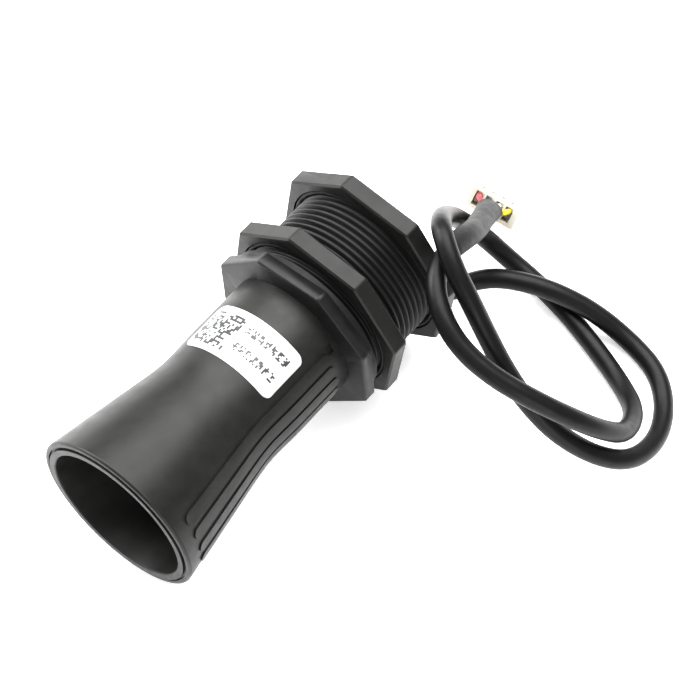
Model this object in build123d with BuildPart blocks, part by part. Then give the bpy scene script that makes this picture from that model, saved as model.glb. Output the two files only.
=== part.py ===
"""Ultrasonic distance sensor with a flared horn, a threaded shank, two lock nuts and a cable.

Frame: +Z up, the sensor lies on the flats of its nuts, its centre line runs along Y at height
AXIS_Z and its mouth faces -Y. Station s is the distance behind the mouth plane, in millimetres.
"""

import os
from math import cos, pi, radians, sin, tan

from build123d import *

# Driving dimensions, mm
LENGTH = 84.4            # mouth plane to the shank's rear face
NUT_FLATS = 42.4         # lock nuts, across flats
AXIS_Z = NUT_FLATS / 2   # height of the centre line over the surface the sensor lies on
HALF = LENGTH / 2

MOUTH_RADIUS = 19.67
MOUTH_INNER = 16.4
RIM_ROUND = 0.6
LIP_ROUND = 0.35
RIM_STEP = 0.3           # outer rim stands back from the lip
RIM_GROOVE = (17.9, 18.4)
RIM_GROOVE_DEPTH = 0.8
FLARE_SLOPE = 0.165
FLARE_END = 22.0
WAIST = (31.0, 14.85)
NECK_START = 40.0
NECK_RADIUS = 15.05
NECK_END = 55.5
THROAT = (34.2, 11.6)
BORE_RADIUS = 12.6       # pocket for the transducer, open at the back

RIB_ANGLES = (0.5, 13.5, 26.5, 39.5)
RIB_WIDTH = 2.75
RIB_HEIGHT = 0.35
RIB_SPAN = (4.2, 52.2)
NOTCH_ANGLE = 44.0
NOTCH_STATION = 53.2
NOTCH_SIZE = (1.4, 2.0)
NOTCH_DEPTH = 0.5

LABEL_ANGLES = (52.5, 146.5)
LABEL_SPAN = (35.0, 47.1)
LABEL_CORNER = 1.5
LABEL_THICKNESS = 0.12

THREAD_RADIUS = 18.0     # M36 x 1.5
THREAD_PITCH = 1.5
THREAD_DEPTH = 0.92
THREAD_START = 60.0
THREAD_TURNS = 16
FLANGE_RADIUS = 21.0     # to the corners
FLANGE_TURN = 9.88       # degrees the flange's flats stand off the nuts' flats
FLANGE_BACK = 58.5
CAVITY_RADIUS = 15.2
NOSE_START = 49.0
NOSE_RADIUS = 12.5
NOSE_BORE = 9.4
RING_GROOVE = (52.0, 53.9)
RING_GROOVE_RADIUS = 11.24
RING_WIRE = 0.66
RAIL_WIDTH = 3.9
RAIL_HEIGHT = 1.2

NUT_THICKNESS = 4.2
NUT_BORE = 18.06
FRONT_NUT = 62.1
REAR_NUT = 79.0
SEAL_POCKET = (19.3, 1.1)
SEAL_RADIUS = 18.65
SEAL_WIRE = 0.5
CORNER_ROUND = 1.2
EDGE_BEVEL = 0.4
LEAD_IN = 0.6
GASKET = (1.4, 18.15, 19.3)   # thickness, inner and outer radius

CAN_RADIUS = 10.5
CAN_SPAN = (35.0, 47.0)
CAN_FRONT = 0.9
CAN_INNER = 9.3
SLEEVE_END = 48.8
SLEEVE_LIP = 9.6
PIEZO_RADIUS = 6.0
PIEZO_THICKNESS = 0.5
FOAM_SPAN = (38.4, 42.4)
BACKING_END = 46.6
LEAD_RADIUS = 0.5
LEAD_X = 3.0
LEAD_END = 61.9

BOARD_SPAN = (59.2, 77.2)
BOARD_WIDTH = 26.0
BOARD_THICKNESS = 1.6
CHIP_LIFT = 0.1          # over the board, on its legs
RAIL_MIDDLE = CAVITY_RADIUS - RAIL_WIDTH / 2 + 0.3   # roots the rail in the shank's wall
RAIL_LEVEL = -BOARD_THICKNESS - RAIL_HEIGHT / 2

# Parts on the board: middles as (x, station), sizes as (x, along the board, high)
MCU_MIDDLE = (6.2, 65.6)
MCU_BODY = (5.0, 5.0, 1.2)
MCU_LEG = (1.0, 0.35, 0.5)
MCU_PITCH = 0.8
AMPLIFIER_MIDDLE = (6.2, 72.4)
AMPLIFIER_BODY = (3.9, 4.9, 1.4)
AMPLIFIER_LEG = (1.0, 0.4, 0.5)
AMPLIFIER_PITCH = 1.27
TRANSFORMER = (-7.4, 66.2)
CORE_PLATE = (7.4, 7.4, 1.2)
CORE_POST = 1.6
WINDING_RADIUS = 3.3
WINDING_HEIGHT = 3.2
CRYSTAL_MIDDLE = (0.6, 68.4)
CRYSTAL_SIZE = (1.9, 4.8, 1.7)
ELECTROLYTIC_MIDDLE = (-8.4, 73.4)
ELECTROLYTIC_BASE = (4.4, 4.4, 0.8)
ELECTROLYTIC_RADIUS = 2.0
ELECTROLYTIC_TALL = 4.4
CAPACITOR_SPOTS = ((-4.6, 71.4), (-4.6, 73.2), (-4.6, 75.0), (0.6, 73.2), (10.6, 69.2), (6.2, 61.2))
CAPACITOR_SIZE = (1.6, 0.8, 0.8)
RESISTOR_SPOTS = ((-2.2, 71.4), (-2.2, 73.2), (10.9, 72.4), (10.9, 74.0), (0.4, 63.4), (0.4, 64.9))
RESISTOR_SIZE = (1.6, 0.8, 0.45)
WIRE_PADS = 75.4
WIRE_LIFT = 0.02

CAP_SPAN = (80.6, 83.6)
POTTING_END = 84.2
GLAND_FLANGE = (5.0, 1.2)
GLAND_START = CAP_SPAN[0] - GLAND_FLANGE[1]
GLAND_NECK = 3.55
BOOT_RADII = (4.6, 3.0)
BOOT_COLLAR = 1.0
BOOT_END = 86.2

CABLE_RADIUS = 2.2
CABLE_START = 82.4
CORE_RADIUS = 0.5
CORE_SPACING = 1.06

CONNECTOR = (12.4, 9.8, 5.0)   # width, length from wires to mating end, thickness
CONNECTOR_ROUND = 0.4
CONNECTOR_PITCH = 2.5
CONNECTOR_HEADING = 9.0         # degrees its width turns from +X towards +Y
CONNECTOR_DIP = 50.0            # degrees its mating end points below level
CONNECTOR_ENTRY = (9.39, 72.82, 9.14)   # middle of the face the wires enter
PLUG_CAVITY = (1.9, 3.4)
PLUG_WALL = 0.8
CORE_LIFT = 0.8          # of the cores over the middle of that face
LATCH_SLOT = (1.3, 1.6)  # width and depth of the notches in the mating edge
WINDOW_SPAN = (1.2, 4.4)
WINDOW_WIDTH = 1.3
TERMINAL = (1.5, 1.9)
TERMINAL_SPAN = (1.0, 9.2)
SHRINK_RADIUS = 2.6
SHRINK_BORE = 2.27
SHRINK_OVERHANG = 3.0    # past the end of the jacket
SHRINK_LEAD = 4.3        # before the first corner it covers
WIRE_RADIUS = 0.5
CORE_SPREAD = 1.1
CORE_GAP = 0.3           # behind the end of the jacket
CORE_LEAD = 0.4          # straight run past the sleeve
CORE_TAIL = 1.0          # straight run into the connector

SIDE = Plane(origin=(0, -HALF, AXIS_Z), x_dir=(0, 1, 0), z_dir=(1, 0, 0))
CENTRE_LINE = Axis((0, 0, AXIS_Z), (0, 1, 0))


def station(s):
    """Plane across the centre line at station s; extruding from it goes towards the mouth."""
    return Plane(origin=(0, s - HALF, AXIS_Z), x_dir=(1, 0, 0), z_dir=(0, -1, 0))


def facing(angle):
    """Plane on the centre line that faces outwards at this angle; local x is the station."""
    a = radians(angle)
    return Plane(origin=(0, -HALF, AXIS_Z), x_dir=(0, 1, 0), z_dir=(cos(a), 0, sin(a)))


def board_plane(height=0.0):
    """Level plane over the board: local x is +X and local y is the station less HALF."""
    return Plane.XY.offset(AXIS_Z + height)


def flare(s, lift=0.0):
    """A point on the straight flare, moved outwards by lift."""
    return (s, MOUTH_RADIUS - FLARE_SLOPE * s + lift)


def neck_line(start, lift=0.0):
    """The horn's outer line from station start to the flange, moved outwards by lift."""
    Line(flare(start, lift), flare(FLARE_END, lift))
    Spline(
        flare(FLARE_END, lift), (WAIST[0], WAIST[1] + lift), (NECK_START, NECK_RADIUS + lift),
        tangents=((1, -FLARE_SLOPE), (1, 0)),
    )
    Line((NECK_START, NECK_RADIUS + lift), (NECK_END, NECK_RADIUS + lift))


def ring(start, end, outer, inner=0.0, mode=Mode.ADD):
    """The half section of a plain ring or disc between two stations."""
    with Locations(((start + end) / 2, (outer + inner) / 2)):
        Rectangle(end - start, outer - inner, mode=mode)


def octagon(radius, turn=0.0):
    """An octagon of this corner radius with flats at top and bottom, then turned."""
    RegularPolygon(radius, side_count=8, rotation=22.5 + turn)


def circles(builder, radius):
    """The round edges of this radius."""
    return builder.edges().filter_by(GeomType.CIRCLE).filter_by(lambda e: abs(e.radius - radius) < 0.01)


# ---------------------------------------------------------------- horn

with BuildPart() as rib_set:
    for angle in RIB_ANGLES:
        with BuildSketch(facing(angle)):
            with Locations(((RIB_SPAN[0] + RIB_SPAN[1]) / 2, 0)):
                SlotOverall(RIB_SPAN[1] - RIB_SPAN[0], RIB_WIDTH)
        extrude(amount=MOUTH_RADIUS + 5)
    with BuildSketch(SIDE):
        with BuildLine():
            neck_line(RIM_STEP, RIB_HEIGHT)
            Polyline(
                (NECK_END, NECK_RADIUS + RIB_HEIGHT), (NECK_END, BORE_RADIUS + 1),
                (THROAT[0], BORE_RADIUS + 1), (RIM_STEP, RIM_GROOVE[1]), flare(RIM_STEP, RIB_HEIGHT),
            )
        make_face()
    revolve(axis=CENTRE_LINE, mode=Mode.INTERSECT)

with BuildPart() as horn:
    with BuildSketch(SIDE):
        with BuildLine():
            neck_line(RIM_STEP)
            Polyline(
                (NECK_END, NECK_RADIUS), (NECK_END, BORE_RADIUS), (THROAT[0], BORE_RADIUS), THROAT,
                (0, MOUTH_INNER), (0, RIM_GROOVE[0]), (RIM_GROOVE_DEPTH, RIM_GROOVE[0]),
                (RIM_GROOVE_DEPTH, RIM_GROOVE[1]), (RIM_STEP, RIM_GROOVE[1]), flare(RIM_STEP),
            )
        make_face()
    revolve(axis=CENTRE_LINE)
    fillet(circles(horn, flare(RIM_STEP)[1]), RIM_ROUND)
    fillet(circles(horn, MOUTH_INNER), LIP_ROUND)
    add(rib_set.part)
    with BuildSketch(facing(NOTCH_ANGLE).offset(NECK_RADIUS + 1)):
        with Locations((NOTCH_STATION, 0)):
            Rectangle(*NOTCH_SIZE)
    extrude(amount=-1 - NOTCH_DEPTH, mode=Mode.SUBTRACT)
horn.part.label = "horn"

with BuildPart() as label:
    label_angle = (LABEL_ANGLES[0] + LABEL_ANGLES[1]) / 2
    with BuildSketch(facing(label_angle)):
        with Locations(((LABEL_SPAN[0] + LABEL_SPAN[1]) / 2, 0)):
            RectangleRounded(
                LABEL_SPAN[1] - LABEL_SPAN[0],
                2 * NECK_RADIUS * sin(radians(LABEL_ANGLES[1] - LABEL_ANGLES[0]) / 2),
                LABEL_CORNER,
            )
    extrude(amount=MOUTH_RADIUS)
    with BuildSketch(SIDE):
        with BuildLine():
            neck_line(FLARE_END - 1, LABEL_THICKNESS)
            Polyline(
                (NECK_END, NECK_RADIUS + LABEL_THICKNESS), (NECK_END, NECK_RADIUS),
                (NECK_START, NECK_RADIUS),
            )
            Spline(
                (NECK_START, NECK_RADIUS), WAIST, flare(FLARE_END),
                tangents=((-1, 0), (-1, FLARE_SLOPE)),
            )
            Polyline(flare(FLARE_END), flare(FLARE_END - 1), flare(FLARE_END - 1, LABEL_THICKNESS))
        make_face()
    revolve(axis=CENTRE_LINE, mode=Mode.INTERSECT)
label.part.label = "label"

# ---------------------------------------------------------------- transducer

with BuildPart() as transducer_can:
    with BuildSketch(SIDE):
        ring(*CAN_SPAN, CAN_RADIUS)
        ring(CAN_SPAN[0] + CAN_FRONT, CAN_SPAN[1], CAN_INNER, mode=Mode.SUBTRACT)
    revolve(axis=CENTRE_LINE)
transducer_can.part.label = "transducer_can"

PIEZO_FRONT = CAN_SPAN[0] + CAN_FRONT
PIEZO_BACK = PIEZO_FRONT + PIEZO_THICKNESS
LEAD_SPOTS = ((-LEAD_X, LEAD_RADIUS + WIRE_LIFT), (LEAD_X, LEAD_RADIUS + WIRE_LIFT))

with BuildPart() as piezo_disc:
    with BuildSketch(station(PIEZO_BACK)):
        Circle(PIEZO_RADIUS)
    extrude(amount=PIEZO_THICKNESS)
piezo_disc.part.label = "piezo_disc"

with BuildPart() as foam_damper:
    with BuildSketch(station(FOAM_SPAN[1])):
        Circle(CAN_INNER)
        with Locations(*LEAD_SPOTS):
            Circle(LEAD_RADIUS, mode=Mode.SUBTRACT)
    extrude(amount=FOAM_SPAN[1] - FOAM_SPAN[0])
foam_damper.part.label = "foam_damper"

with BuildPart() as transducer_backing:
    with BuildSketch(station(BACKING_END)):
        Circle(CAN_INNER)
        with Locations(*LEAD_SPOTS):
            Circle(LEAD_RADIUS, mode=Mode.SUBTRACT)
    extrude(amount=BACKING_END - FOAM_SPAN[1])
transducer_backing.part.label = "transducer_backing"

with BuildPart() as isolation_sleeve:
    with BuildSketch(SIDE):
        ring(THROAT[0], SLEEVE_END, BORE_RADIUS, CAN_RADIUS)
        ring(THROAT[0], CAN_SPAN[0], BORE_RADIUS, SLEEVE_LIP)
    revolve(axis=CENTRE_LINE)
isolation_sleeve.part.label = "isolation_sleeve"

with BuildPart() as transducer_leads:
    with BuildSketch(station(LEAD_END)):
        with Locations(*LEAD_SPOTS):
            Circle(LEAD_RADIUS)
    extrude(amount=LEAD_END - PIEZO_BACK)
transducer_leads.part.label = "transducer_leads"

# ---------------------------------------------------------------- housing


def thread_line():
    """The thread's half outline, crest by crest, as (station, radius) points."""
    root = THREAD_RADIUS - THREAD_DEPTH
    points = []
    for turn in range(THREAD_TURNS):
        s = THREAD_START + turn * THREAD_PITCH
        points += [
            (s + THREAD_PITCH * 0.12, root), (s + THREAD_PITCH * 0.43, THREAD_RADIUS),
            (s + THREAD_PITCH * 0.57, THREAD_RADIUS), (s + THREAD_PITCH * 0.88, root),
        ]
    return points


with BuildPart() as housing:
    with BuildSketch(station(FLANGE_BACK)) as outline:
        octagon(FLANGE_RADIUS, FLANGE_TURN)
        fillet(outline.vertices(), CORNER_ROUND)
    extrude(amount=FLANGE_BACK - NECK_END)
    chamfer(housing.faces().sort_by(Axis.Y)[0].edges(), EDGE_BEVEL)
    with BuildSketch(SIDE):
        with BuildLine():
            Polyline(
                (NOSE_START, 0), (NOSE_START, NOSE_RADIUS), (RING_GROOVE[0], NOSE_RADIUS),
                (RING_GROOVE[0], RING_GROOVE_RADIUS), (RING_GROOVE[1], RING_GROOVE_RADIUS),
                (RING_GROOVE[1], NOSE_RADIUS), (NECK_END, NOSE_RADIUS),
                (NECK_END, THREAD_RADIUS - THREAD_DEPTH), *thread_line(),
                (LENGTH, THREAD_RADIUS - THREAD_DEPTH), (LENGTH, 0), close=True,
            )
        make_face()
    revolve(axis=CENTRE_LINE)
    with BuildSketch(SIDE):
        ring(NOSE_START, FLANGE_BACK, NOSE_BORE)
        ring(FLANGE_BACK, LENGTH, CAVITY_RADIUS)
    revolve(axis=CENTRE_LINE, mode=Mode.SUBTRACT)
    with BuildSketch(station(BOARD_SPAN[1])):
        with Locations((-RAIL_MIDDLE, RAIL_LEVEL), (RAIL_MIDDLE, RAIL_LEVEL)):
            Rectangle(RAIL_WIDTH, RAIL_HEIGHT)
    extrude(amount=BOARD_SPAN[1] - FLANGE_BACK)
housing.part.label = "housing"

with BuildPart() as neck_o_ring:
    with BuildSketch(SIDE):
        with Locations((sum(RING_GROOVE) / 2, (BORE_RADIUS + RING_GROOVE_RADIUS) / 2)):
            Circle(RING_WIRE)
    revolve(axis=CENTRE_LINE)
neck_o_ring.part.label = "neck_o_ring"

with BuildPart() as panel_gasket:
    with BuildSketch(SIDE):
        ring(FLANGE_BACK, FLANGE_BACK + GASKET[0], GASKET[2], GASKET[1])
    revolve(axis=CENTRE_LINE)
panel_gasket.part.label = "panel_gasket"

# ---------------------------------------------------------------- lock nuts


def nut_shape(start):
    """Adds one lock nut, whose front face is at station start, to the part being built."""
    end = start + NUT_THICKNESS
    with BuildSketch(station(end)) as outline:
        octagon(NUT_FLATS / 2 / cos(pi / 8))
        fillet(outline.vertices(), CORNER_ROUND)
    solid = extrude(outline.sketch, amount=NUT_THICKNESS)
    ends = solid.faces().sort_by(Axis.Y)
    chamfer(ends[0].edges() + ends[-1].edges(), EDGE_BEVEL)
    with BuildSketch(SIDE) as hole:
        with BuildLine():
            Polyline(
                (start, 0), (start, SEAL_POCKET[0]), (start + SEAL_POCKET[1], SEAL_POCKET[0]),
                (start + SEAL_POCKET[1], NUT_BORE), (end - LEAD_IN, NUT_BORE),
                (end, NUT_BORE + LEAD_IN), (end, 0), close=True,
            )
        make_face()
    revolve(hole.sketch, axis=CENTRE_LINE, mode=Mode.SUBTRACT)


def seal_shape(start):
    """Adds the O-ring that sits in a lock nut's front pocket to the part being built."""
    with BuildSketch(SIDE) as wire:
        with Locations((start + SEAL_POCKET[1] / 2, SEAL_RADIUS)):
            Circle(SEAL_WIRE)
    revolve(wire.sketch, axis=CENTRE_LINE)


with BuildPart() as front_lock_nut:
    nut_shape(FRONT_NUT)
front_lock_nut.part.label = "front_lock_nut"

with BuildPart() as rear_lock_nut:
    nut_shape(REAR_NUT)
rear_lock_nut.part.label = "rear_lock_nut"

with BuildPart() as front_nut_seal:
    seal_shape(FRONT_NUT)
front_nut_seal.part.label = "front_nut_seal"

with BuildPart() as rear_nut_seal:
    seal_shape(REAR_NUT)
rear_nut_seal.part.label = "rear_nut_seal"

# ---------------------------------------------------------------- rear end

with BuildPart() as rear_cap:
    with BuildSketch(SIDE):
        ring(*CAP_SPAN, CAVITY_RADIUS, GLAND_NECK)
    revolve(axis=CENTRE_LINE)
rear_cap.part.label = "rear_cap"

with BuildPart() as rear_potting:
    with BuildSketch(SIDE):
        ring(CAP_SPAN[1], POTTING_END, CAVITY_RADIUS, GLAND_NECK)
    revolve(axis=CENTRE_LINE)
rear_potting.part.label = "rear_potting"

with BuildPart() as cable_gland:
    with BuildSketch(SIDE):
        with BuildLine():
            Polyline(
                (GLAND_START, CABLE_RADIUS), (GLAND_START, GLAND_FLANGE[0]),
                (CAP_SPAN[0], GLAND_FLANGE[0]), (CAP_SPAN[0], GLAND_NECK), (POTTING_END, GLAND_NECK),
                (POTTING_END, BOOT_RADII[0]), (POTTING_END + BOOT_COLLAR, BOOT_RADII[0]),
                (BOOT_END, BOOT_RADII[1]), (BOOT_END, CABLE_RADIUS), close=True,
            )
        make_face()
    revolve(axis=CENTRE_LINE)
cable_gland.part.label = "cable_gland"

# ---------------------------------------------------------------- electronics


def boxes(spots, size, height=0.0):
    """Adds a box of size (x, along the board, high) on the board at each (x, station) spot."""
    with BuildSketch(board_plane(height)) as outline:
        with Locations(*[(x, s - HALF) for x, s in spots]):
            Rectangle(size[0], size[1])
    extrude(outline.sketch, amount=size[2])


def posts(spots, radius, tall, height=0.0):
    """Adds a round post on the board at each (x, station) spot."""
    with BuildSketch(board_plane(height)) as outline:
        with Locations(*[(x, s - HALF) for x, s in spots]):
            Circle(radius)
    extrude(outline.sketch, amount=tall)


def chip(middle, body, leg, pitch, legs):
    """Adds a chip whose body stands a little off the board, with a row of legs on both sides."""
    boxes([middle], body, CHIP_LIFT)
    reach = (body[0] + leg[0]) / 2 - CHIP_LIFT
    rows = [middle[1] + pitch * (row - (legs - 1) / 2) for row in range(legs)]
    boxes([(middle[0] + side * reach, row) for side in (-1, 1) for row in rows], leg)


with BuildPart() as circuit_board:
    board_size = (BOARD_WIDTH, BOARD_SPAN[1] - BOARD_SPAN[0], BOARD_THICKNESS)
    boxes([(0, sum(BOARD_SPAN) / 2)], board_size, -BOARD_THICKNESS)
circuit_board.part.label = "circuit_board"

with BuildPart() as microcontroller:
    chip(MCU_MIDDLE, MCU_BODY, MCU_LEG, MCU_PITCH, 5)
microcontroller.part.label = "microcontroller"

with BuildPart() as amplifier_chip:
    chip(AMPLIFIER_MIDDLE, AMPLIFIER_BODY, AMPLIFIER_LEG, AMPLIFIER_PITCH, 4)
amplifier_chip.part.label = "amplifier_chip"

with BuildPart() as transformer_core:
    boxes([TRANSFORMER], CORE_PLATE)
    posts([TRANSFORMER], CORE_POST, WINDING_HEIGHT, CORE_PLATE[2])
    boxes([TRANSFORMER], CORE_PLATE, CORE_PLATE[2] + WINDING_HEIGHT)
transformer_core.part.label = "transformer_core"

with BuildPart() as transformer_winding:
    with BuildSketch(board_plane(CORE_PLATE[2])):
        with Locations((TRANSFORMER[0], TRANSFORMER[1] - HALF)):
            Circle(WINDING_RADIUS)
            Circle(CORE_POST, mode=Mode.SUBTRACT)
    extrude(amount=WINDING_HEIGHT)
transformer_winding.part.label = "transformer_winding"

with BuildPart() as crystal:
    with BuildSketch(board_plane()):
        with Locations((CRYSTAL_MIDDLE[0], CRYSTAL_MIDDLE[1] - HALF)):
            SlotOverall(CRYSTAL_SIZE[1], CRYSTAL_SIZE[0], rotation=90)
    extrude(amount=CRYSTAL_SIZE[2])
crystal.part.label = "crystal"

with BuildPart() as electrolytic_capacitor:
    boxes([ELECTROLYTIC_MIDDLE], ELECTROLYTIC_BASE)
    posts([ELECTROLYTIC_MIDDLE], ELECTROLYTIC_RADIUS, ELECTROLYTIC_TALL, ELECTROLYTIC_BASE[2])
electrolytic_capacitor.part.label = "electrolytic_capacitor"

with BuildPart() as capacitors:
    boxes(CAPACITOR_SPOTS, CAPACITOR_SIZE)
capacitors.part.label = "capacitors"

with BuildPart() as resistors:
    boxes(RESISTOR_SPOTS, RESISTOR_SIZE)
resistors.part.label = "resistors"

CORE_X = [CORE_SPACING * (core - 1.5) for core in range(4)]

with BuildPart() as inner_wires:
    with BuildSketch(station(CABLE_START)):
        with Locations(*[(x, CORE_RADIUS + WIRE_LIFT) for x in CORE_X]):
            Circle(CORE_RADIUS)
    extrude(amount=CABLE_START - WIRE_PADS)
inner_wires.part.label = "inner_wires"

# ---------------------------------------------------------------- cable, where it lies

# From inside the gland, round a loose coil of two turns that leans on the rear nut, to the jacket's end
CABLE_ROUTE = [
    (0.0, 40.2, 21.2), (0.0, 47.0, 21.2), (1.0, 50.9, 16.2), (4.4, 50.6, 10.2), (9.8, 49.2, 6.2),
    (14.6, 51.4, 4.4), (16.8, 57.0, 5.8), (22.2, 61.1, 8.1), (31.0, 65.2, 8.6), (41.0, 69.0, 5.9),
    (51.0, 70.5, 2.3), (60.5, 68.5, 2.3), (67.2, 62.2, 3.0), (70.9, 53.0, 5.7), (69.9, 43.3, 9.9),
    (64.0, 37.0, 14.5), (55.5, 33.0, 20.0), (47.0, 32.0, 25.5), (40.0, 32.5, 30.5), (33.0, 34.0, 35.5),
    (27.5, 35.0, 40.5), (21.0, 36.5, 45.0), (14.0, 41.0, 46.5), (10.6, 46.7, 40.0), (8.5, 53.3, 29.8),
    (7.3, 60.8, 17.7), (11.7, 66.0, 8.4), (18.9, 67.7, 4.0), (27.5, 68.0, 2.3), (37.0, 66.5, 2.3),
    (46.0, 64.0, 2.3), (55.5, 60.5, 3.2), (63.4, 54.8, 7.5), (66.0, 45.6, 14.4), (62.6, 38.7, 22.6),
    (56.6, 33.4, 29.0), (49.0, 29.6, 32.9), (40.8, 27.2, 35.2), (32.5, 26.5, 37.5), (25.0, 28.5, 40.0),
    (19.0, 33.5, 41.0), (16.5, 40.5, 40.5), (16.5, 48.0, 37.0), (15.2, 54.5, 29.5), (12.9, 61.3, 21.9),
    (10.8, 68.1, 14.8),
]
ARC_SHARE = 0.45         # of the shorter run, that an arc's tangent takes


def bend_radii(points):
    """The radius of the arc at each corner of a route."""
    radii = []
    for before, corner, after in zip(points, points[1:], points[2:]):
        run_in = Vector(corner) - Vector(before)
        run_out = Vector(after) - Vector(corner)
        turn = radians(run_in.get_angle(run_out))
        radii.append(ARC_SHARE * min(run_in.length, run_out.length) / tan(turn / 2))
    return radii


def rounded(points):
    """Draws a route as straight runs joined by tangent arcs."""
    FilletPolyline(*points, radius=bend_radii(points))


def across(path):
    """Plane square to the start of a route's line."""
    return Plane(origin=path @ 0, z_dir=path % 0)


with BuildPart() as cable:
    with BuildLine() as cable_line:
        rounded(CABLE_ROUTE)
    with BuildSketch(across(cable_line.line)):
        Circle(CABLE_RADIUS)
    sweep()
cable.part.label = "cable"

LAST_CORNER = Vector(CABLE_ROUTE[-2])
JACKET_END = Vector(CABLE_ROUTE[-1])
TAIL = (JACKET_END - LAST_CORNER).normalized()
SHRINK_TIP = JACKET_END + TAIL * SHRINK_OVERHANG
SHRINK_CORNER = Vector(CABLE_ROUTE[-4])
SHRINK_START = SHRINK_CORNER + (Vector(CABLE_ROUTE[-5]) - SHRINK_CORNER).normalized() * SHRINK_LEAD

with BuildPart() as heat_shrink:
    with BuildLine() as shrink_line:
        FilletPolyline(
            SHRINK_START, *CABLE_ROUTE[-4:-1], SHRINK_TIP, radius=bend_radii(CABLE_ROUTE)[-3:],
        )
    with BuildSketch(across(shrink_line.line)):
        Circle(SHRINK_RADIUS)
        Circle(SHRINK_BORE, mode=Mode.SUBTRACT)
    sweep()
heat_shrink.part.label = "heat_shrink"

# ---------------------------------------------------------------- connector

heading = radians(CONNECTOR_HEADING)
dip = radians(CONNECTOR_DIP)
PLUG_WIDE = Vector(cos(heading), sin(heading), 0)
PLUG_LONG = Vector(-sin(heading) * cos(dip), cos(heading) * cos(dip), -sin(dip))
PLUG_FACE = Plane(origin=CONNECTOR_ENTRY, x_dir=PLUG_WIDE, z_dir=PLUG_LONG)
WAYS = [CONNECTOR_PITCH * (way - 1.5) for way in range(4)]

with BuildPart() as connector_housing:
    with BuildSketch(PLUG_FACE):
        RectangleRounded(CONNECTOR[0], CONNECTOR[2], CONNECTOR_ROUND)
    extrude(amount=CONNECTOR[1])
    with BuildSketch(PLUG_FACE):
        with Locations(*[(way, 0) for way in WAYS]):
            Rectangle(*PLUG_CAVITY)
    extrude(amount=CONNECTOR[1], mode=Mode.SUBTRACT)
    with BuildSketch(PLUG_FACE.offset(WINDOW_SPAN[0])):
        with Locations(*[(way, -CONNECTOR[2] / 2) for way in WAYS]):
            Rectangle(WINDOW_WIDTH, 2 * PLUG_WALL)
    extrude(amount=WINDOW_SPAN[1] - WINDOW_SPAN[0], mode=Mode.SUBTRACT)
    with BuildSketch(PLUG_FACE.offset(CONNECTOR[1] - LATCH_SLOT[1])):
        with Locations(*[(way, -CONNECTOR[2] / 2) for way in WAYS]):
            Rectangle(LATCH_SLOT[0], 2 * PLUG_WALL + 0.2)
    extrude(amount=LATCH_SLOT[1], mode=Mode.SUBTRACT)
connector_housing.part.label = "connector_housing"

with BuildPart() as crimp_terminals:
    with BuildSketch(PLUG_FACE.offset(TERMINAL_SPAN[0])):
        with Locations(*[(way, 0) for way in WAYS]):
            Rectangle(*TERMINAL)
    extrude(amount=TERMINAL_SPAN[1] - TERMINAL_SPAN[0])
crimp_terminals.part.label = "crimp_terminals"


def core_route(number):
    """The route of one core, from the jacket's end to its terminal."""
    start = JACKET_END + PLUG_WIDE * (CORE_SPREAD * (number - 1.5)) + TAIL * CORE_GAP
    middle = PLUG_FACE.origin + PLUG_WIDE * WAYS[number] - PLUG_FACE.y_dir * CORE_LIFT
    end = middle + PLUG_LONG * TERMINAL_SPAN[0]
    leaving = start + TAIL * (SHRINK_OVERHANG + CORE_LEAD)
    arriving = end - PLUG_LONG * (TERMINAL_SPAN[0] + CORE_TAIL)
    return [start, leaving, arriving, end]


with BuildPart() as wire_red:
    with BuildLine() as red_line:
        rounded(core_route(0))
    with BuildSketch(across(red_line.line)):
        Circle(WIRE_RADIUS)
    sweep()
wire_red.part.label = "wire_red"

with BuildPart() as wire_black:
    with BuildLine() as black_line:
        rounded(core_route(1))
    with BuildSketch(across(black_line.line)):
        Circle(WIRE_RADIUS)
    sweep()
wire_black.part.label = "wire_black"

with BuildPart() as wire_white:
    with BuildLine() as white_line:
        rounded(core_route(2))
    with BuildSketch(across(white_line.line)):
        Circle(WIRE_RADIUS)
    sweep()
wire_white.part.label = "wire_white"

with BuildPart() as wire_yellow:
    with BuildLine() as yellow_line:
        rounded(core_route(3))
    with BuildSketch(across(yellow_line.line)):
        Circle(WIRE_RADIUS)
    sweep()
wire_yellow.part.label = "wire_yellow"

cable_length = sum(edge.length for edge in cable_line.edges())
print("cable length", round(cable_length, 1), "volume", round(cable.part.volume, 1))
print("section times length", round(pi * CABLE_RADIUS**2 * cable_length, 1))
print("cable bend radii in diameters", [round(r / CABLE_RADIUS / 2, 1) for r in bend_radii(CABLE_ROUTE)])
for core in range(4):
    print("core bend radii", [round(r, 1) for r in bend_radii(core_route(core))])

# ---------------------------------------------------------------- files

os.makedirs("parts", exist_ok=True)
for piece in (
    horn, label, transducer_can, piezo_disc, foam_damper, transducer_backing, isolation_sleeve,
    transducer_leads, housing, neck_o_ring, panel_gasket, front_lock_nut, rear_lock_nut,
    front_nut_seal, rear_nut_seal, rear_cap, rear_potting, cable_gland, circuit_board,
    microcontroller, amplifier_chip, transformer_core, transformer_winding, crystal,
    electrolytic_capacitor, capacitors, resistors, inner_wires, cable, heat_shrink, wire_red,
    wire_black, wire_white, wire_yellow, connector_housing, crimp_terminals,
):
    export_step(piece.part, f"parts/{piece.part.label}.step")
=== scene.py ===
"""Looks for the ultrasonic distance sensor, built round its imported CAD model.

Lengths are in metres, in the part's frame: +Z is up, the centre line runs along Y at height
AXIS_Z, the mouth faces -Y, and station s is the distance behind the mouth.
"""

from math import cos, pi, radians, sin, sqrt

import bmesh
import bpy
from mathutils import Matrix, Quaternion, Vector
from mathutils.noise import noise as smooth_noise


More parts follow.
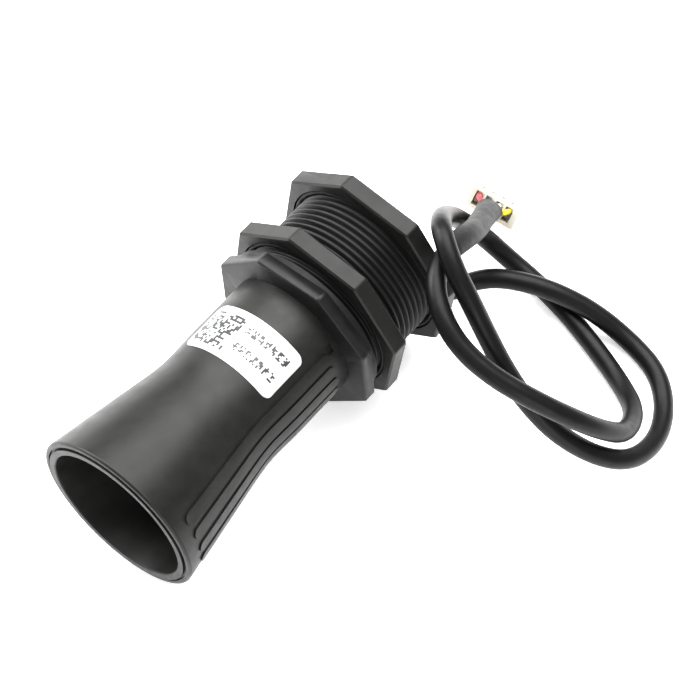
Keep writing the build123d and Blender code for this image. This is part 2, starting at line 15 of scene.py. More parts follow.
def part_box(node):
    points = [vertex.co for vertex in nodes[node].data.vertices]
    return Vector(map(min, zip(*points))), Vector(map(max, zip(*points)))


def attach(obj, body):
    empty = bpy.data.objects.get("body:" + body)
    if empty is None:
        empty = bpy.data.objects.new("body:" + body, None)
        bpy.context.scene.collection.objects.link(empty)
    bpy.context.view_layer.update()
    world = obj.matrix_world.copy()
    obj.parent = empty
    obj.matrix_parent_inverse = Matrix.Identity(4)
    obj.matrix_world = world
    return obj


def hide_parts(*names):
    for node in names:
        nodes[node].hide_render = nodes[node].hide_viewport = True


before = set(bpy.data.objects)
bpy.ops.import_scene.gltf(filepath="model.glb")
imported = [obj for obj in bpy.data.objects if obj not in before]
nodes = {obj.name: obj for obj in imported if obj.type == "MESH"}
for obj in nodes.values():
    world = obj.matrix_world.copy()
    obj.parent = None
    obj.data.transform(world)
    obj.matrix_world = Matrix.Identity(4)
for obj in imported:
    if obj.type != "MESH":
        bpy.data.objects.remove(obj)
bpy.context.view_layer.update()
horn_low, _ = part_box("horn")
nut_low, nut_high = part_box("front_lock_nut")

# Driving dimensions
HALF = -horn_low.y                        # from the mouth plane to the frame's origin
AXIS_Z = (nut_low.z + nut_high.z) / 2
NECK_RADIUS = 0.01505
THREAD_PITCH = 0.0015
THREAD_RADIUS = 0.018
THREAD_ROOT = 0.01708
THREAD_START = 0.06
THREAD_SPAN = (0.06018, 0.08382)          # first and last root line of the ridges
THREAD_RIDGES = 16
THREAD_SIDES = 144
THREAD_TUCK = 0.0001                      # of the thread's two ends under the plain shank
THREAD_LIP = 0.00002                      # of those ends past the span
RUN_IN = 0.2                              # pitches from an end, before a ridge starts to rise
RIDGE = (                                 # across one ridge, as shares of its pitch and its height
    (0.1, 0.0), (0.16, 0.1), (0.37, 0.84), (0.42, 0.96), (0.5, 1.0), (0.58, 0.96), (0.63, 0.84),
    (0.84, 0.1), (0.9, 0.0),
)
CABLE_DIAMETER = 0.0044
NUT_EDGE = 0.00035                        # radius of the nuts' softened edges
CRISP_ANGLE = radians(30)                 # edges sharper than this are softened
WELD = 1e-6                               # points closer than this are one

# Camera
CAMERA_AZIMUTH = 28.72                    # degrees
CAMERA_ELEVATION = 62.78
CAMERA_ROLL = 11.98
CAMERA_AIM = (0.00629, 0.02792, 0.00037)
CAMERA_DISTANCE = 0.5748
CAMERA_LENS = 135.3                       # mm, on a 36 mm sensor

# The cable's route, as in part.py: from inside the gland, round two turns, to the jacket's end
CABLE_ROUTE = [
    (0.0, 0.0402, 0.0212), (0.0, 0.047, 0.0212), (0.001, 0.0509, 0.0162), (0.0044, 0.0506, 0.0102),
    (0.0098, 0.0492, 0.0062), (0.0146, 0.0514, 0.0044), (0.0168, 0.057, 0.0058),
    (0.0222, 0.0611, 0.0081), (0.031, 0.0652, 0.0086), (0.041, 0.069, 0.0059), (0.051, 0.0705, 0.0023),
    (0.0605, 0.0685, 0.0023), (0.0672, 0.0622, 0.003), (0.0709, 0.053, 0.0057),
    (0.0699, 0.0433, 0.0099), (0.064, 0.037, 0.0145), (0.0555, 0.033, 0.02), (0.047, 0.032, 0.0255),
    (0.04, 0.0325, 0.0305), (0.033, 0.034, 0.0355), (0.0275, 0.035, 0.0405), (0.021, 0.0365, 0.045),
    (0.014, 0.041, 0.0465), (0.0106, 0.0467, 0.04), (0.0085, 0.0533, 0.0298), (0.0073, 0.0608, 0.0177),
    (0.0117, 0.066, 0.0084), (0.0189, 0.0677, 0.004), (0.0275, 0.068, 0.0023), (0.037, 0.0665, 0.0023),
    (0.046, 0.064, 0.0023), (0.0555, 0.0605, 0.0032), (0.0634, 0.0548, 0.0075), (0.066, 0.0456, 0.0144),
    (0.0626, 0.0387, 0.0226), (0.0566, 0.0334, 0.029), (0.049, 0.0296, 0.0329),
    (0.0408, 0.0272, 0.0352), (0.0325, 0.0265, 0.0375), (0.025, 0.0285, 0.04), (0.019, 0.0335, 0.041),
    (0.0165, 0.0405, 0.0405), (0.0165, 0.048, 0.037), (0.0152, 0.0545, 0.0295),
    (0.0129, 0.0613, 0.0219), (0.0108, 0.0681, 0.0148),
]

# The sky's strength near the horizon and overhead, and the heights on the unit sphere between them
LOW_SKY = 0.3
HIGH_SKY = 0.95
SKY_BAND = (0.1, 0.75)
VIEW_GAMMA = 0.88

# The floor and the soft boxes: name, place, side and power
FLOOR_HALF = 3.0
FLOOR_DROP = 0.00005                      # keeps it clear of the faces that rest on it
FLOOR_GLOW = 0.4
LIGHT_AIM = (0.02, 0.02, 0.0)
LIGHTS = (
    ("top_box", (-0.25, 0.35, 0.95), 1.1, 31.0),
    ("left_box", (-0.9, -0.1, 0.45), 0.6, 15.0),
    ("right_box", (0.75, -0.55, 0.3), 0.5, 4.0),
)

# The plug at the cable's end
PLUG_HEADING = radians(9.0)
PLUG_DIP = radians(50.0)
PLUG_ENTRY = Vector((0.00939, 0.07282, 0.00914))   # middle of the face the wires enter
PLUG_PITCH = 0.0025
PLUG_WIDE = Vector((cos(PLUG_HEADING), sin(PLUG_HEADING), 0.0))
PLUG_LONG = Vector((
    -sin(PLUG_HEADING) * cos(PLUG_DIP), cos(PLUG_HEADING) * cos(PLUG_DIP), -sin(PLUG_DIP),
))
PLUG_UP = PLUG_WIDE.cross(PLUG_LONG)
CORE_LIFT = 0.0008                        # of the wires over the plug's middle
WIRE_DIAMETER = 0.0012                    # of a core, 0.0002 over the CAD's
CORE_GATHER = 0.8                         # of their own spacing, at the jacket's end
CORE_SPREAD = 1.05                        # and at the sleeve's mouth
CORE_GAP = 0.0001                         # past the jacket's end
CORE_CLEAR = 0.0003                       # past the sleeve's mouth
CORE_LEAD = 0.0012                        # straight run before the plug
CORE_BEND = 0.0014                        # behind the plug, where the middle of a core aims
CORE_SEAT = 0.001                         # run inside the plug

SLEEVE_RADIUS = 0.0026
SLEEVE_WALL = 0.0003
SLEEVE_LENGTH = 0.0375                    # on the jacket
SLEEVE_OVERHANG = 0.0032                  # past the jacket's end
SLEEVE_STEP = 0.0004                      # between its rings
SLEEVE_SIDES = 48
SLEEVE_MOUTH = 0.2                        # share of its length that flattens
SLEEVE_SPREAD = 0.0004                    # half width gained at the mouth
SLEEVE_PINCH = 0.0007                     # half depth lost at the mouth
SLEEVE_LEAD_RINGS = 3                     # over which its tight first end swells
SLEEVE_TIGHT = 0.1                        # share of its size lost at that end
CREASE_DEPTH = 0.03                       # share of its size
FOLD_DEPTH = 0.008

# The label's print, in millimetres from one corner: round the neck, and forwards along it
LABEL_CORNER_ANGLE = radians(146.5)
LABEL_CORNER_STATION = 0.0471
PRINT_SCALE = 1000                        # millimetres in a metre
CODE_CELL = 0.56
CODE_COLUMNS = (0.5, 17.5)
CODE_LINES = (2.5, 18.5)
CODE_SEED = 3.0
CODE_CHANCE = 0.5
PRINT_ROWS = ((2.6, 11.0), (7.1, 23.0))   # place and random seed of each row
ROW_START = 11.4
ROW_PITCH = 1.66
ROW_LENGTH = 7                            # stand-ins for characters
GLYPH_WIDE = 1.2
GLYPH_TALL = 2.0
GLYPH_COLUMNS = 3
GLYPH_LINES = 5
GLYPH_CHANCE = 0.38
INK = (0.012, 0.012, 0.014)


# ---------------------------------------------------------------- camera


def make_camera():
    """The camera at the photograph's angle."""
    azimuth = radians(CAMERA_AZIMUTH)
    elevation = radians(CAMERA_ELEVATION)
    level_share = cos(elevation)
    back = Vector((sin(azimuth) * level_share, -cos(azimuth) * level_share, sin(elevation)))
    data = bpy.data.cameras.new("camera")
    data.lens = CAMERA_LENS
    data.clip_start = 0.01
    data.clip_end = 20.0
    camera = bpy.data.objects.new("camera", data)
    bpy.context.scene.collection.objects.link(camera)
    camera.location = Vector(CAMERA_AIM) + back * CAMERA_DISTANCE
    camera.rotation_mode = "QUATERNION"
    level = (-back).to_track_quat("-Z", "Y")
    camera.rotation_quaternion = level @ Quaternion((0, 0, 1), radians(CAMERA_ROLL))
    bpy.context.scene.camera = camera


# ---------------------------------------------------------------- shapes


def link(name, data):
    """A new object in the scene."""
    made = bpy.data.objects.new(name, data)
    bpy.context.scene.collection.objects.link(made)
    return made


def nurbs(name, points, radius):
    """A smooth round cord whose line has these control points."""
    curve = bpy.data.curves.new(name, "CURVE")
    curve.dimensions = "3D"
    curve.resolution_u = 10
    curve.bevel_depth = radius
    curve.bevel_resolution = 7
    curve.use_fill_caps = True
    spline = curve.splines.new("NURBS")
    spline.points.add(len(points) - 1)
    for point, place in zip(spline.points, points):
        point.co = (*place, 1.0)
    spline.order_u = 3
    spline.use_endpoint_u = True
    return link(name, curve)


def centreline(cord):
    """The points along a cord's own line."""
    curve = cord.data.copy()
    curve.bevel_depth = 0.0
    bare = link("bare_line", curve)
    mesh = bpy.data.meshes.new_from_object(bare)
    line = [v.co.copy() for v in mesh.vertices]
    bpy.data.objects.remove(bare)
    bpy.data.curves.remove(curve)
    bpy.data.meshes.remove(mesh)
    return line


def last_stretch(line, length):
    """The end of a line, cut to this length."""
    kept = [line[-1]]
    for before in reversed(line[:-1]):
        step = (before - kept[-1]).length
        if step >= length:
            kept.append(kept[-1].lerp(before, length / step))
            break
        kept.append(before)
        length -= step
    return kept[::-1]


def evenly(line, step):
    """Points at even steps along a line."""
    runs = [(b - a).length for a, b in zip(line, line[1:])]
    count = max(2, round(sum(runs) / step))
    spaced, run, done = [], 0, 0.0
    for number in range(count + 1):
        goal = sum(runs) * number / count
        while run < len(runs) - 1 and done + runs[run] < goal:
            done += runs[run]
            run += 1
        share = min(1.0, (goal - done) / runs[run])
        spaced.append(line[run].lerp(line[run + 1], share))
    return spaced


def smooth(mesh, angle=radians(35)):
    """Smooth faces with crisp edges above this angle."""
    mesh.shade_smooth()
    mesh.set_sharp_from_angle(angle=angle)


def closed_skin(name, rings):
    """A skin over rings of points, from the first ring to the last and back to the first."""
    built = bmesh.new()
    made = [[built.verts.new(p) for p in ring] for ring in rings]
    for here, there in [*zip(made, made[1:]), (made[-1], made[0])]:
        for i in range(len(here)):
            k = (i + 1) % len(here)
            built.faces.new((here[i], here[k], there[k], there[i]))
    bmesh.ops.recalc_face_normals(built, faces=built.faces)
    mesh = bpy.data.meshes.new(name)
    built.to_mesh(mesh)
    built.free()
    smooth(mesh)
    return link(name, mesh)


def soften(node, width):
    """Rounds the crisp edges of a CAD node."""
    weld = nodes[node].modifiers.new("weld", "WELD")
    weld.merge_threshold = WELD
    bevel = nodes[node].modifiers.new("soften", "BEVEL")
    bevel.width = width
    bevel.segments = 3
    bevel.limit_method = "ANGLE"
    bevel.angle_limit = CRISP_ANGLE
    bevel.use_clamp_overlap = True
    bevel.harden_normals = True


# ---------------------------------------------------------------- materials


class Finish:
    """One material, built up from procedural nodes in the part's own metres."""

    def __init__(self, name, metallic=0.0, specular=0.5, coat=0.0):
        self.material = bpy.data.materials.new(name)
        self.material.use_nodes = True
        self.tree = self.material.node_tree
        self.shader = self.tree.nodes["Principled BSDF"]
        self.shader.inputs["Metallic"].default_value = metallic
        self.shader.inputs["Specular IOR Level"].default_value = specular
        self.shader.inputs["Coat Weight"].default_value = coat
        self.place = self.tree.nodes.new("ShaderNodeTexCoord").outputs["Object"]
        self.normal = None

    def node(self, kind, wires, **settings):
        """A node with its settings, whose inputs are wired to sockets or set to values."""
        made = self.tree.nodes.new(kind)
        for setting, value in settings.items():
            setattr(made, setting, value)
        for socket, value in wires.items():
            if isinstance(value, bpy.types.NodeSocket):
                self.tree.links.new(value, made.inputs[socket])
            else:
                made.inputs[socket].default_value = value
        return made

    def noise(self, size, detail=3.0, rough=0.55, place=None):
        """Cloudy noise whose features are about this size."""
        wires = {"Vector": place or self.place, "Scale": 1.0 / size, "Detail": detail, "Roughness": rough}
        return self.node("ShaderNodeTexNoise", wires).outputs["Fac"]

    def stretched(self, along, across):
        """The place, squeezed so that noise makes streaks along Y."""
        scale = (1.0 / across, 1.0 / along, 1.0 / across)
        wires = {"Vector": self.place, "Scale": scale}
        return self.node("ShaderNodeMapping", wires).outputs["Vector"]

    def math(self, operation, a, b=0.0):
        """One arithmetic step."""
        return self.node("ShaderNodeMath", {0: a, 1: b}, operation=operation).outputs[0]

    def span(self, value, low, high, to_low, to_high):
        """The value, mapped from one range to another and held inside it."""
        wires = {0: value, 1: low, 2: high, 3: to_low, 4: to_high}
        return self.node("ShaderNodeMapRange", wires).outputs[0]

    def inside(self, value, low, high):
        """One where the value lies between low and high, and nought elsewhere."""
        above = self.math("GREATER_THAN", value, low)
        below = self.math("LESS_THAN", value, high)
        return self.math("MULTIPLY", above, below)

    def blend(self, share, first, second):
        """A colour between two colours."""
        mix = self.node("ShaderNodeMix", {0: share}, data_type="RGBA")
        for socket, colour in ((6, first), (7, second)):
            if isinstance(colour, bpy.types.NodeSocket):
                self.tree.links.new(colour, mix.inputs[socket])
            else:
                mix.inputs[socket].default_value = (*colour, 1.0)
        return mix.outputs[2]

    def colour(self, socket):
        """Takes the base colour from this socket."""
        self.tree.links.new(socket, self.shader.inputs["Base Color"])

    def roughness(self, value, low, high):
        """Lets the roughness follow a noise between two limits."""
        socket = self.span(value, 0.25, 0.75, low, high)
        self.tree.links.new(socket, self.shader.inputs["Roughness"])

    def bump(self, height, depth):
        """Adds relief of this depth over what is there already."""
        wires = {"Height": height, "Distance": depth, "Strength": 1.0}
        if self.normal is not None:
            wires["Normal"] = self.normal
        self.normal = self.node("ShaderNodeBump", wires).outputs["Normal"]
        self.tree.links.new(self.normal, self.shader.inputs["Normal"])

    def edges(self):
        """One along raised edges, fading over a narrow band."""
        pointed = self.node("ShaderNodeNewGeometry", {}).outputs["Pointiness"]
        return self.span(pointed, 0.52, 0.58, 0.0, 1.0)


def moulded(name, colour, low, high, worn=0.25):
    """Dark moulded plastic: a fine spark-eroded grain, faint flow marks and dulled edges."""
    made = Finish(name, specular=0.3)
    depth = 0.000012
    cloud = made.noise(0.006, 4.0)
    speck = made.noise(0.00035, 2.0, 0.6)
    dust = made.noise(0.0016, 6.0, 0.7)
    lighter = tuple(c * 1.4 + 0.001 for c in colour)
    worn_colour = tuple(c * 2.0 + 0.005 for c in colour)
    base = made.blend(made.span(cloud, 0.35, 0.7, 0.0, 1.0), colour, lighter)
    base = made.blend(made.span(dust, 0.6, 0.8, 0.0, 0.35), base, worn_colour)
    edge = made.math("MULTIPLY", made.edges(), made.span(dust, 0.35, 0.6, 0.0, worn))
    made.colour(made.blend(edge, base, worn_colour))
    made.roughness(made.noise(0.003, 5.0), low, high)
    made.bump(speck, depth)
    made.bump(made.noise(0.011, 2.0), depth * 5)
    return made.material


def rubber(name, colour, low, high, depth=0.00002):
    """Dull elastomer with a slightly dusty surface."""
    made = Finish(name, specular=0.25)
    dust = made.noise(0.0012, 6.0, 0.7)
    dusty = tuple(c * 1.5 + 0.004 for c in colour)
    made.colour(made.blend(made.span(dust, 0.45, 0.75, 0.0, 0.6), colour, dusty))
    made.roughness(made.noise(0.002, 4.0), low, high)
    made.bump(made.noise(0.0005, 3.0), depth)
    return made.material


def insulated(name, colour, low=0.3, high=0.42, specular=0.45):
    """Satin PVC: nearly even colour, faint draw lines and soft waviness."""
    made = Finish(name, specular=specular)
    cloud = made.noise(0.004, 3.0)
    shade = tuple(c * 0.8 for c in colour)
    made.colour(made.blend(made.span(cloud, 0.3, 0.7, 0.0, 1.0), colour, shade))
    made.roughness(made.noise(0.0015, 4.0), low, high)
    made.bump(made.noise(0.0007, 3.0), 0.000008)
    made.bump(made.noise(0.006, 2.0), 0.00008)
    return made.material


def metal(name, colour, low, high, depth=0.000006):
    """Drawn or tinned metal with fine scratches."""
    made = Finish(name, metallic=1.0)
    cloud = made.noise(0.002, 5.0, 0.65)
    tarnish = tuple(c * 0.78 for c in colour)
    made.colour(made.blend(made.span(cloud, 0.35, 0.7, 0.0, 1.0), colour, tarnish))
    streak = made.noise(0.0009, 3.0, 0.6, made.stretched(6.0, 1.0))
    made.roughness(streak, low, high)
    made.bump(streak, depth)
    return made.material


def nylon():
    """Natural nylon: warm white, a little light inside it, and a fine matt grain."""
    made = Finish("natural_nylon")
    cloud = made.noise(0.003, 4.0)
    base = made.blend(made.span(cloud, 0.35, 0.7, 0.0, 1.0), (0.5, 0.49, 0.45), (0.45, 0.44, 0.39))
    made.colour(base)
    made.shader.inputs["Subsurface Weight"].default_value = 0.5
    made.shader.inputs["Subsurface Radius"].default_value = (1.0, 0.9, 0.7)
    made.shader.inputs["Subsurface Scale"].default_value = 0.002
    made.roughness(made.noise(0.0015, 4.0), 0.36, 0.5)
    made.bump(made.noise(0.0004, 3.0), 0.00001)
    return made.material


def printed_label():
    """White sticker. Its print is generic: a block and two rows of random cells."""
    made = Finish("printed_label", coat=0.25)
    made.shader.inputs["Coat Roughness"].default_value = 0.25
    parts = made.node("ShaderNodeSeparateXYZ", {"Vector": made.place})
    up = made.math("SUBTRACT", parts.outputs["Z"], AXIS_Z)
    angle = made.math("ARCTAN2", up, parts.outputs["X"])
    from_corner = made.math("SUBTRACT", LABEL_CORNER_ANGLE, angle)
    around = made.math("MULTIPLY", from_corner, NECK_RADIUS * PRINT_SCALE)
    forwards = made.math("SUBTRACT", LABEL_CORNER_STATION - HALF, parts.outputs["Y"])
    along = made.math("MULTIPLY", forwards, PRINT_SCALE)

    column = made.math("FLOOR", made.math("DIVIDE", around, CODE_CELL))
    line = made.math("FLOOR", made.math("DIVIDE", along, CODE_CELL))
    spot = made.node("ShaderNodeCombineXYZ", {"X": column, "Y": line, "Z": CODE_SEED}).outputs[0]
    chance = made.node("ShaderNodeTexWhiteNoise", {"Vector": spot}).outputs["Value"]
    block = made.math("MULTIPLY", made.inside(column, *CODE_COLUMNS), made.inside(line, *CODE_LINES))
    ink = made.math("MULTIPLY", block, made.math("GREATER_THAN", chance, CODE_CHANCE))

    for top, seed in PRINT_ROWS:
        ink = made.math("MAXIMUM", ink, glyph_row(made, around, along, top, seed))
    soft = made.noise(0.00012, 2.0)
    dense = made.span(soft, 0.2, 0.5, 0.8, 1.0)
    paper = made.noise(0.002, 4.0)
    white = made.blend(made.span(paper, 0.3, 0.7, 0.0, 1.0), (0.48, 0.485, 0.48), (0.43, 0.435, 0.43))
    made.colour(made.blend(made.math("MULTIPLY", ink, dense), white, INK))
    made.roughness(paper, 0.4, 0.55)
    made.bump(made.noise(0.0006, 3.0), 0.000006)
    return made.material


def glyph_row(made, around, along, top, seed):
    """Ink for one row of stand-ins for characters: small blocks of random cells."""
    across = made.math("SUBTRACT", around, ROW_START)
    number = made.math("FLOOR", made.math("DIVIDE", across, ROW_PITCH))
    within = made.math("SUBTRACT", across, made.math("MULTIPLY", number, ROW_PITCH))
    down = made.math("SUBTRACT", along, top)
    column = made.math("FLOOR", made.math("DIVIDE", within, GLYPH_WIDE / GLYPH_COLUMNS))
    level = made.math("FLOOR", made.math("DIVIDE", down, GLYPH_TALL / GLYPH_LINES))
    mixed = made.math("ADD", made.math("MULTIPLY", number, float(GLYPH_COLUMNS)), column)
    spot = made.node("ShaderNodeCombineXYZ", {"X": mixed, "Y": level, "Z": seed}).outputs[0]
    chance = made.node("ShaderNodeTexWhiteNoise", {"Vector": spot}).outputs["Value"]
    inked = made.math("GREATER_THAN", chance, GLYPH_CHANCE)
    filled = made.math("MULTIPLY", made.math("LESS_THAN", within, GLYPH_WIDE), inked)
    numbered = made.inside(number, -0.5, ROW_LENGTH - 0.5)
    row = made.math("MULTIPLY", numbered, made.inside(down, 0.0, GLYPH_TALL))
    return made.math("MULTIPLY", row, filled)


def floor_finish():
    """Matt pale paper, lit through a little from below, which keeps the shadows soft."""
    made = Finish("pale_floor", specular=0.1)
    cloud = made.noise(0.4, 3.0)
    made.colour(made.blend(cloud, (0.93, 0.93, 0.93), (0.95, 0.95, 0.95)))
    made.shader.inputs["Roughness"].default_value = 0.9
    made.shader.inputs["Emission Color"].default_value = (1.0, 1.0, 1.0, 1.0)
    made.shader.inputs["Emission Strength"].default_value = FLOOR_GLOW
    return made.material


def paint(target, material):
    """Gives an object this one material."""
    target.data.materials.clear()
    target.data.materials.append(material)


# ---------------------------------------------------------------- cable, sleeve and wires


def make_cable(material):
    """The jacket, along its route."""
    jacket = nurbs("cable_jacket", CABLE_ROUTE, CABLE_DIAMETER / 2)
    paint(jacket, material)
    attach(jacket, "sensor")
    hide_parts("cable")
    return jacket


def along_line(line, sideways):
    """For each point of a line, the way it runs and two directions square to it."""
    frames = []
    for i, point in enumerate(line):
        run = (line[min(i + 1, len(line) - 1)] - line[max(i - 1, 0)]).normalized()
        wide = (sideways - run * sideways.dot(run)).normalized()
        frames.append((point, run, wide, run.cross(wide)))
    return frames


def make_sleeve(line, material):
    """Heat-shrink over the jacket's end: it widens and flattens to its mouth, with long creases."""
    covered = last_stretch(line, SLEEVE_LENGTH)
    tail = (covered[-1] - covered[-2]).normalized()
    covered.append(covered[-1] + tail * SLEEVE_OVERHANG)
    spine = along_line(evenly(covered, SLEEVE_STEP), PLUG_WIDE)
    outer, inner = [], []
    for i, (point, run, wide, deep) in enumerate(spine):
        share = i / (len(spine) - 1)
        open_end = max(0.0, (share - (1 - SLEEVE_MOUTH)) / SLEEVE_MOUTH) ** 1.5
        loose = min(1.0, i / SLEEVE_LEAD_RINGS)
        half_wide = SLEEVE_RADIUS + SLEEVE_SPREAD * open_end
        half_deep = SLEEVE_RADIUS - SLEEVE_PINCH * open_end
        ring, bore = [], []
        for side in range(SLEEVE_SIDES):
            turn = 2 * pi * side / SLEEVE_SIDES
            crease = smooth_noise(Vector((3 * cos(turn), 3 * sin(turn), share * 5)))
            fold = smooth_noise(Vector((cos(turn), sin(turn), share * 12)))
            swell = 1 + CREASE_DEPTH * crease + FOLD_DEPTH * fold - SLEEVE_TIGHT * (1 - loose)
            out = wide * (cos(turn) * half_wide * swell) + deep * (sin(turn) * half_deep * swell)
            ring.append(point + out)
            bore.append(point + out * (1 - SLEEVE_WALL / half_deep))
        outer.append(ring)
        inner.append(bore)
    made = closed_skin("cable_sleeve", outer + inner[::-1])
    paint(made, material)
    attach(made, "sensor")
    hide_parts("heat_shrink")
    return made


def make_wire(name, node, points, material):
    """One insulated core, from inside the sleeve to its place in the plug."""
    made = nurbs(name, points, WIRE_DIAMETER / 2)
    paint(made, material)
    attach(made, "sensor")
    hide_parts(node)
    return made


def wire_points(line, number, slack):
    """The route of core number 0 to 3: out of the sleeve, with some slack, and into the plug."""
    end = line[-1]
    tail = (line[-1] - line[-2]).normalized()
    beside = (PLUG_WIDE - tail * PLUG_WIDE.dot(tail)).normalized()
    offset = beside * (WIRE_DIAMETER * (number - 1.5))
    entry = PLUG_ENTRY + PLUG_WIDE * (PLUG_PITCH * (number - 1.5)) + PLUG_UP * CORE_LIFT
    start = end + offset * CORE_GATHER + tail * CORE_GAP
    mouth = end + offset * CORE_SPREAD + tail * (SLEEVE_OVERHANG + CORE_CLEAR)
    middle = mouth.lerp(entry - PLUG_LONG * CORE_BEND, 0.5) + Vector(slack)
    return [start, mouth, middle, entry - PLUG_LONG * CORE_LEAD, entry + PLUG_LONG * CORE_SEAT]


# ---------------------------------------------------------------- shank with its thread


def thread_ring(turned, first, last):
    """One line across the whole thread, turned this share of a turn: (station, radius) points."""
    line = [(first - THREAD_LIP, THREAD_ROOT - THREAD_TUCK)]
    for ridge in range(-1, THREAD_RIDGES):
        start = THREAD_START + (ridge + turned) * THREAD_PITCH
        middle = start + 0.5 * THREAD_PITCH
        run_in = min(1.0, max(0.0, (middle - first) / THREAD_PITCH - RUN_IN))
        run_out = min(1.0, max(0.0, (last - middle) / THREAD_PITCH - RUN_IN))
        for share, height in RIDGE:
            station = min(last, max(first, start + share * THREAD_PITCH))
            tall = (THREAD_RADIUS - THREAD_ROOT) * height * min(run_in, run_out)
            line.append((station, THREAD_ROOT + tall))
    line.append((last + THREAD_LIP, THREAD_ROOT - THREAD_TUCK))
    return line


def make_shank(material):
    """The housing with its rings replaced by one right-hand thread, run out at both ends."""
    first, last = THREAD_SPAN
    near = 1e-5
    built = bmesh.new()
    built.from_mesh(nodes["housing"].data)
    bmesh.ops.remove_doubles(built, verts=built.verts, dist=WELD)
    rings = [
        face for face in built.faces
        if all(first - near <= v.co.y + HALF <= last + near for v in face.verts)
        and all(sqrt(v.co.x ** 2 + (v.co.z - AXIS_Z) ** 2) > THREAD_ROOT - 3e-5 for v in face.verts)
    ]
    bmesh.ops.delete(built, geom=rings, context="FACES")
    columns = []
    for column in range(THREAD_SIDES + 1):
        turn = 2 * pi * column / THREAD_SIDES - pi
        line = thread_ring(column / THREAD_SIDES, first, last)
        columns.append([
            built.verts.new((r * sin(turn), station - HALF, AXIS_Z + r * cos(turn))) for station, r in line
        ])
    for here, there in zip(columns, columns[1:]):
        for i in range(len(here) - 1):
            built.faces.new((here[i], here[i + 1], there[i + 1], there[i]))
    bmesh.ops.remove_doubles(built, verts=[v for line in columns for v in line], dist=WELD)
    mesh = bpy.data.meshes.new("threaded_housing")
    built.to_mesh(mesh)
    built.free()
    smooth(mesh, radians(40))
    made = link("threaded_housing", mesh)
    flat_sides = made.modifiers.new("flat_sides", "WEIGHTED_NORMAL")
    flat_sides.keep_sharp = True
    paint(made, material)
    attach(made, "sensor")
    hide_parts("housing")


# ---------------------------------------------------------------- stage


def area_light(name, place, side, power):
    """A square soft box, facing the object."""
    data = bpy.data.lights.new(name, "AREA")
    data.shape = "RECTANGLE"
    data.size = side
    data.size_y = side
    data.energy = power
    made = link(name, data)
    made.location = place
    made.rotation_mode = "QUATERNION"
    made.rotation_quaternion = (Vector(LIGHT_AIM) - Vector(place)).to_track_quat("-Z", "Y")


def make_stage():
    """Floor, soft boxes and a white surround that is darker near the horizon."""
    built = bmesh.new()
    bmesh.ops.create_grid(built, x_segments=1, y_segments=1, size=FLOOR_HALF)
    mesh = bpy.data.meshes.new("floor")
    built.to_mesh(mesh)
    built.free()
    floor = link("floor", mesh)
    floor.location.z = -FLOOR_DROP
    paint(floor, floor_finish())
    for light in LIGHTS:
        area_light(*light)
    world = bpy.data.worlds.new("surround")
    world.use_nodes = True
    background = world.node_tree.nodes["Background"]
    background.inputs["Color"].default_value = (1.0, 1.0, 1.0, 1.0)
    tree = world.node_tree
    place = tree.nodes.new("ShaderNodeTexCoord")
    parts = tree.nodes.new("ShaderNodeSeparateXYZ")
    height = tree.nodes.new("ShaderNodeMapRange")
    tree.links.new(place.outputs["Generated"], parts.inputs["Vector"])
    tree.links.new(parts.outputs["Z"], height.inputs[0])
    for socket, value in enumerate((*SKY_BAND, LOW_SKY, HIGH_SKY), 1):
        height.inputs[socket].default_value = value
    tree.links.new(height.outputs[0], background.inputs["Strength"])
    bpy.context.scene.world = world
    bpy.context.scene.view_settings.view_transform = "Standard"
    bpy.context.scene.view_settings.gamma = VIEW_GAMMA


# ---------------------------------------------------------------- the object

make_camera()

black_pvc = insulated("black_pvc", (0.0055, 0.0055, 0.0057), 0.33, 0.45, 0.2)
shrunk = rubber("shrunk_sleeve", (0.013, 0.013, 0.0128), 0.5, 0.65)
WIRES = (
    ("core_red", "wire_red", "insulation_red", (0.62, 0.02, 0.025), (0.0, 0.0, 0.0003)),
    ("core_black", "wire_black", "insulation_black", (0.018, 0.018, 0.02), (0.0, 0.0, 0.0004)),
    ("core_white", "wire_white", "insulation_white", (0.78, 0.78, 0.74), (0.0004, -0.0006, -0.0018)),
    ("core_yellow", "wire_yellow", "insulation_yellow", (0.85, 0.62, 0.01), (0.0004, -0.0003, 0.0006)),
)
jacket = make_cable(black_pvc)
jacket_line = centreline(jacket)
sleeve = make_sleeve(jacket_line, shrunk)
cores = [
    make_wire(name, node, wire_points(jacket_line, number, slack), insulated(name, colour))
    for number, (name, node, slot_name, colour, slack) in enumerate(WIRES)
]

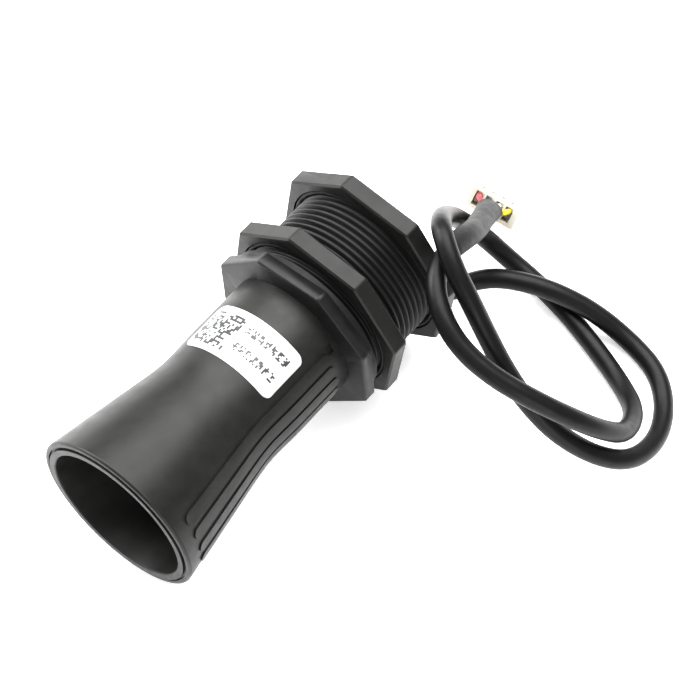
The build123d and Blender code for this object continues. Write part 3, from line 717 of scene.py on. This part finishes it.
horn_black = moulded("horn_black", (0.0075, 0.0075, 0.0068), 0.36, 0.48)
shank_black = moulded("shank_black", (0.005, 0.005, 0.0052), 0.4, 0.5)
nut_black = moulded("nut_black", (0.0068, 0.0068, 0.0062), 0.4, 0.52, worn=0.5)
seal_black = rubber("seal_rubber", (0.005, 0.005, 0.005), 0.5, 0.65)
tinned = metal("tinned_metal", (0.72, 0.71, 0.68), 0.25, 0.4)
FINISHES = {
    "horn": horn_black,
    "label": printed_label(),
    "transducer_can": metal("can_aluminium", (0.76, 0.77, 0.79), 0.3, 0.42),
    "piezo_disc": rubber("piezo_ceramic", (0.62, 0.6, 0.52), 0.5, 0.6, 0.000006),
    "foam_damper": rubber("open_foam", (0.1, 0.1, 0.105), 0.8, 0.95, 0.0002),
    "transducer_backing": rubber("cast_silicone", (0.66, 0.66, 0.62), 0.35, 0.5),
    "isolation_sleeve": seal_black,
    "transducer_leads": tinned,
    "housing": shank_black,
    "neck_o_ring": seal_black,
    "panel_gasket": seal_black,
    "front_lock_nut": nut_black,
    "rear_lock_nut": nut_black,
    "front_nut_seal": seal_black,
    "rear_nut_seal": seal_black,
    "rear_cap": shank_black,
    "rear_potting": insulated("potting_resin", (0.012, 0.012, 0.014), 0.12, 0.25),
    "cable_gland": rubber("gland_rubber", (0.008, 0.008, 0.0085), 0.42, 0.55),
    "circuit_board": insulated("solder_mask", (0.012, 0.11, 0.045), 0.25, 0.35),
    "microcontroller": moulded("chip_plastic", (0.02, 0.02, 0.021), 0.45, 0.6),
    "transformer_core": moulded("ferrite", (0.055, 0.055, 0.06), 0.5, 0.65),
    "transformer_winding": metal("copper_winding", (0.75, 0.36, 0.16), 0.3, 0.45, 0.00003),
    "crystal": metal("crystal_can", (0.7, 0.7, 0.68), 0.25, 0.35),
    "electrolytic_capacitor": metal("capacitor_can", (0.78, 0.79, 0.8), 0.25, 0.35),
    "capacitors": insulated("ceramic_body", (0.46, 0.31, 0.18), 0.35, 0.45),
    "resistors": insulated("resistor_glaze", (0.02, 0.02, 0.022), 0.25, 0.35),
    "inner_wires": insulated("inner_insulation", (0.55, 0.03, 0.03)),
    "connector_housing": nylon(),
    "crimp_terminals": tinned,
}
FINISHES["amplifier_chip"] = FINISHES["microcontroller"]
for node, finish in FINISHES.items():
    paint(nodes[node], finish)
make_shank(shank_black)
for node in ("front_lock_nut", "rear_lock_nut"):
    soften(node, NUT_EDGE)

make_stage()
